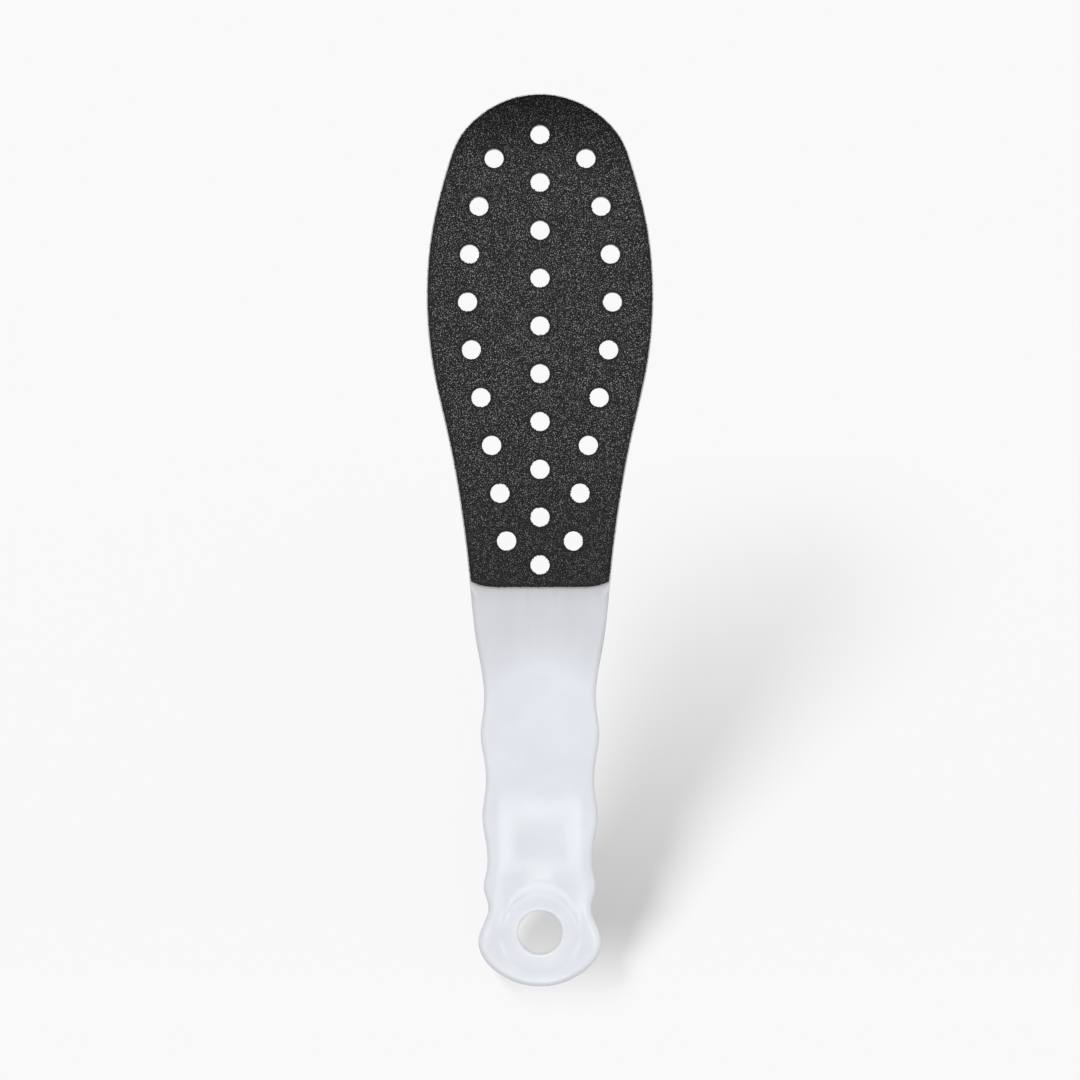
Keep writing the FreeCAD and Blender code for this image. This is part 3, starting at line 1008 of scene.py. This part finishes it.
class FOOTFILE_OT_stage(bpy.types.Operator):
    """Pale floor that falls away beyond the butt, soft light and the camera above"""

    bl_idname = "foot_file.stage"
    bl_label = "Stage"

    def execute(self, context):
        stage = settings("stage")
        scene = context.scene
        scene.view_settings.view_transform = "Standard"

        camera = add_object("camera", bpy.data.cameras.new("camera"))
        camera.data.lens = camera.data.sensor_width * stage.camera_distance / stage.frame_width
        camera.location = (0.0, (BUTT_Y + TIP_Y) / 2, MIDDLE_Z + stage.camera_distance)
        scene.camera = camera

        # The sun that casts the shadow lights only the floor, and the soft boxes light only the file.
        slope = stage.floor_slope
        floor_z = MIDDLE_Z - settings("body").tab_thickness / 2
        shadow_y = TIP_Y - stage.shadow_down
        shadow_z = floor_z - (shadow_y - BUTT_Y) * math.tan(slope)
        sunbeam = Vector((stage.shadow_right, -stage.shadow_down, shadow_z - MIDDLE_Z)).normalized()
        on_slope = -sunbeam.dot(Vector((0, math.sin(slope), math.cos(slope))))
        on_level = -sunbeam.z
        white = np.array(stage.floor_colour[:3])
        blocked = white * stage.shadow_depth / stage.sun_level
        # A level surface weighs a sky that grows evenly with height by two thirds of that growth.
        sky_on_floor = stage.horizon_level + (stage.sky_level - stage.horizon_level) * 2 / 3

        reach = stage.floor_size
        edge_y = BUTT_Y + reach * math.cos(slope)
        edge_z = floor_z - reach * math.sin(slope)
        rows = ((BUTT_Y - reach, floor_z), (BUTT_Y, floor_z), (edge_y, edge_z))
        corners = [(x, y, z) for y, z in rows for x in (-reach, reach)]
        floor_mesh = bpy.data.meshes.new("floor")
        floor_mesh.from_pydata(corners, [], [(0, 1, 3, 2), (2, 3, 5, 4)])
        for number, facing in enumerate((on_level, on_slope)):
            albedo = blocked * on_slope / facing
            glow = white - albedo * sky_on_floor - blocked * stage.sun_level
            floor_mesh.materials.append(matt_white_paint(f"matt_white_floor_{number}", albedo, glow))
            floor_mesh.polygons[number].material_index = number
        floor = add_object("floor", floor_mesh)
        only_floor = bpy.data.collections.new("only_floor")
        only_floor.objects.link(floor)
        all_but_floor = bpy.data.collections.new("all_but_floor")
        all_but_floor.objects.link(floor)
        all_but_floor.collection_objects[0].light_linking.link_state = "EXCLUDE"

        sun = bpy.data.lights.new("shadow_sun", "SUN")
        sun.energy = stage.sun_level * math.pi / on_slope
        sun.angle = stage.shadow_blur
        sun_lamp = add_object("shadow_sun", sun)
        sun_lamp.rotation_euler = sunbeam.to_track_quat("-Z", "Y").to_euler()
        sun_lamp.light_linking.receiver_collection = only_floor

        # A narrow beam straight down lightens the shadow that is seen through the hanging hole.
        beam = bpy.data.lights.new("hole_beam", "SPOT")
        beam.energy = stage.beam_level * 4 * math.pi**2 * stage.camera_distance**2
        beam.spot_size = 2 * math.atan(2 * HANG_RADIUS / stage.camera_distance)
        beam.spot_blend = 1.0
        beam_lamp = add_object("hole_beam", beam)
        beam_lamp.location = (HANG_CENTRE.x, HANG_CENTRE.y, floor_z + stage.camera_distance)
        beam_lamp.light_linking.receiver_collection = only_floor

        # The ring of bars hangs over the hanging end, and its long reflections lie across the lower grip.
        bar_x = sum(RING_X) / 2
        bar_width = RING_X[1] - RING_X[0]
        reach_x = 2 * RING_X[1]
        low_y, gap_y, high_y = [BUTT_Y + (a + b) / 2 for a, b in zip(RING_Y, RING_Y[1:])]
        low, gap, high = [b - a for a, b in zip(RING_Y, RING_Y[1:])]
        for name, place, size, level in (
            ("upper_bar", (0.0, high_y, LAMP_Z), (reach_x, high), stage.strip_level),
            ("lower_bar", (0.0, low_y, LAMP_Z), (reach_x, low), stage.strip_level),
            ("left_bar", (-bar_x, gap_y, LAMP_Z), (bar_width, gap), stage.strip_level),
            ("right_bar", (bar_x, gap_y, LAMP_Z), (bar_width, gap), stage.strip_level),
            ("tail_bar", (0.0, BUTT_Y + TAIL_Y, LAMP_Z), TAIL_SIZE, stage.strip_level),
            ("front_box", (0.0, BUTT_Y + FRONT_Y, LAMP_Z), FRONT_SIZE, stage.strip_level),
            ("soft_box", SOFT_PLACE, SOFT_SIZE, stage.key_level),
        ):
            aim = (0.0, 0.0, 0.0) if name == "soft_box" else (place[0], place[1], 0.0)
            light = bpy.data.lights.new(name, "AREA")
            light.shape = "RECTANGLE"
            light.size, light.size_y = size
            light.energy = level * math.pi * size[0] * size[1]
            lamp = add_object(name, light)
            lamp.location = place
            lamp.rotation_euler = (Vector(aim) - Vector(place)).to_track_quat("-Z", "Y").to_euler()
            lamp.visible_camera = False
            lamp.visible_diffuse = name not in ONLY_REFLECTED
            lamp.light_linking.receiver_collection = all_but_floor

        world = bpy.data.worlds.new("studio")
        scene.world = world
        world.use_nodes = True
        tree = world.node_tree
        tree.nodes.clear()
        direction = add_node(tree, "ShaderNodeTexCoord").outputs["Generated"]
        height = add_node(tree, "ShaderNodeSeparateXYZ", {0: direction}).outputs["Z"]
        level = map_range(tree, height, (0.0, 1.0), (stage.horizon_level, stage.sky_level))
        sky = add_node(tree, "ShaderNodeBackground", {"Color": (1, 1, 1, 1), "Strength": level})
        backdrop = add_node(tree, "ShaderNodeBackground", {"Color": stage.floor_colour, "Strength": 1.0})
        both = mix_shaders(tree, seen_directly(tree), sky, backdrop)
        add_node(tree, "ShaderNodeOutputWorld", {"Surface": both.outputs[0]})
        return {"FINISHED"}


class FOOTFILE_PT_panel(bpy.types.Panel):
    """Sidebar panel of the foot file"""

    bl_idname = "FOOTFILE_PT_panel"
    bl_label = "Foot File"
    bl_space_type = "VIEW_3D"
    bl_region_type = "UI"
    bl_category = "Foot File"

    def draw(self, context):
        for name, operators in (
            ("body", (FOOTFILE_OT_moulded_body,)),
            ("grit", (FOOTFILE_OT_grit_coats, FOOTFILE_OT_sheet_layers)),
            ("stage", (FOOTFILE_OT_stage,)),
        ):
            part = self.layout.box()
            for operator in operators:
                part.operator(operator.bl_idname)
            group = settings(name)
            for key in group.__annotations__:
                part.prop(group, key)


GROUPS = {"body": BodySettings, "grit": GritSettings, "stage": StageSettings}
CLASSES = (
    *GROUPS.values(),
    FOOTFILE_OT_moulded_body,
    FOOTFILE_OT_grit_coats,
    FOOTFILE_OT_sheet_layers,
    FOOTFILE_OT_stage,
    FOOTFILE_PT_panel,
)


def register():
    for kind in CLASSES:
        bpy.utils.register_class(kind)
    for name, group in GROUPS.items():
        setattr(bpy.types.Scene, f"foot_file_{name}", PointerProperty(type=group))


def unregister():
    for name in GROUPS:
        delattr(bpy.types.Scene, f"foot_file_{name}")
    for kind in reversed(CLASSES):
        bpy.utils.unregister_class(kind)


def main():
    """Builds the file and its stage."""
    register()
    bpy.ops.foot_file.moulded_body()
    bpy.ops.foot_file.grit_coats()
    bpy.ops.foot_file.sheet_layers()
    bpy.ops.foot_file.stage()


if __name__ == "__main__":
    main()
